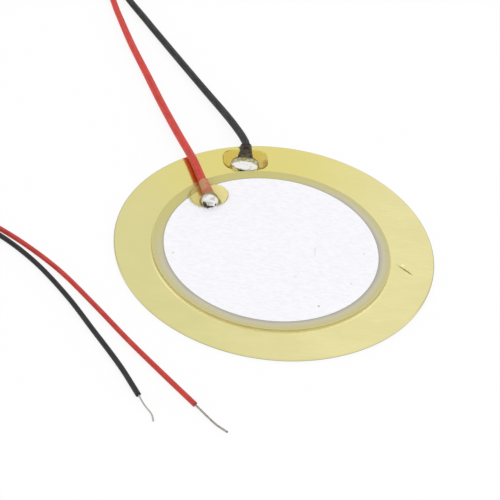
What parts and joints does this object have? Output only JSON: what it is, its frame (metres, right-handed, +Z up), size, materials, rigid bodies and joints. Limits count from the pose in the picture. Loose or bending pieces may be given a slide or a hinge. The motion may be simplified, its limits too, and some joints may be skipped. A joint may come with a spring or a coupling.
{
  "type": "piezo disc",
  "caption": "Flat round piezo bender: a silvered ceramic disc bonded to a wider brass plate, with a red and a black lead soldered on and their far ends bare.",
  "frame": {"origin": "centre of the underside of the brass plate", "axes": "+Z up through the stack, out of the silvered face; +Y towards the side of the rim that carries the solder joints; +X to the right of the joints, seen from the silvered face"},
  "size_m": [0.0474, 0.0592, 0.0015],
  "materials": {
    "brass": "satin, lightly blurred reflections, one scratch",
    "adhesive": "dark olive, glossy",
    "silver": "matt fired silver, near white, a few specks",
    "ceramic": "matt, unglazed, pale tan",
    "solder": "bright and smooth, slightly dulled",
    "flux_pale": "clear pale yellow resin, glossy",
    "flux_amber": "amber resin, glossy",
    "red_insulation": "smooth soft PVC",
    "black_insulation": "smooth soft PVC",
    "stranded_copper": "fine tinned strands, dull and slightly coppery",
    "tinned_copper": "smooth, dull grey solder coat"
  },
  "bodies": {
    "root": {"brass_plate": "brass", "bond_layer": "adhesive", "bottom_electrode": "silver", "ceramic_disc": "ceramic", "top_electrode": "silver", "red_solder": "solder", "black_solder": "solder", "red_flux": "flux_pale", "black_flux": "flux_amber", "red_core": "tinned_copper", "black_core": "tinned_copper", "red_insulation": "red_insulation", "black_insulation": "black_insulation", "red_strands": "stranded_copper", "black_tinned_end": "tinned_copper"}
  },
  "joints": []
}
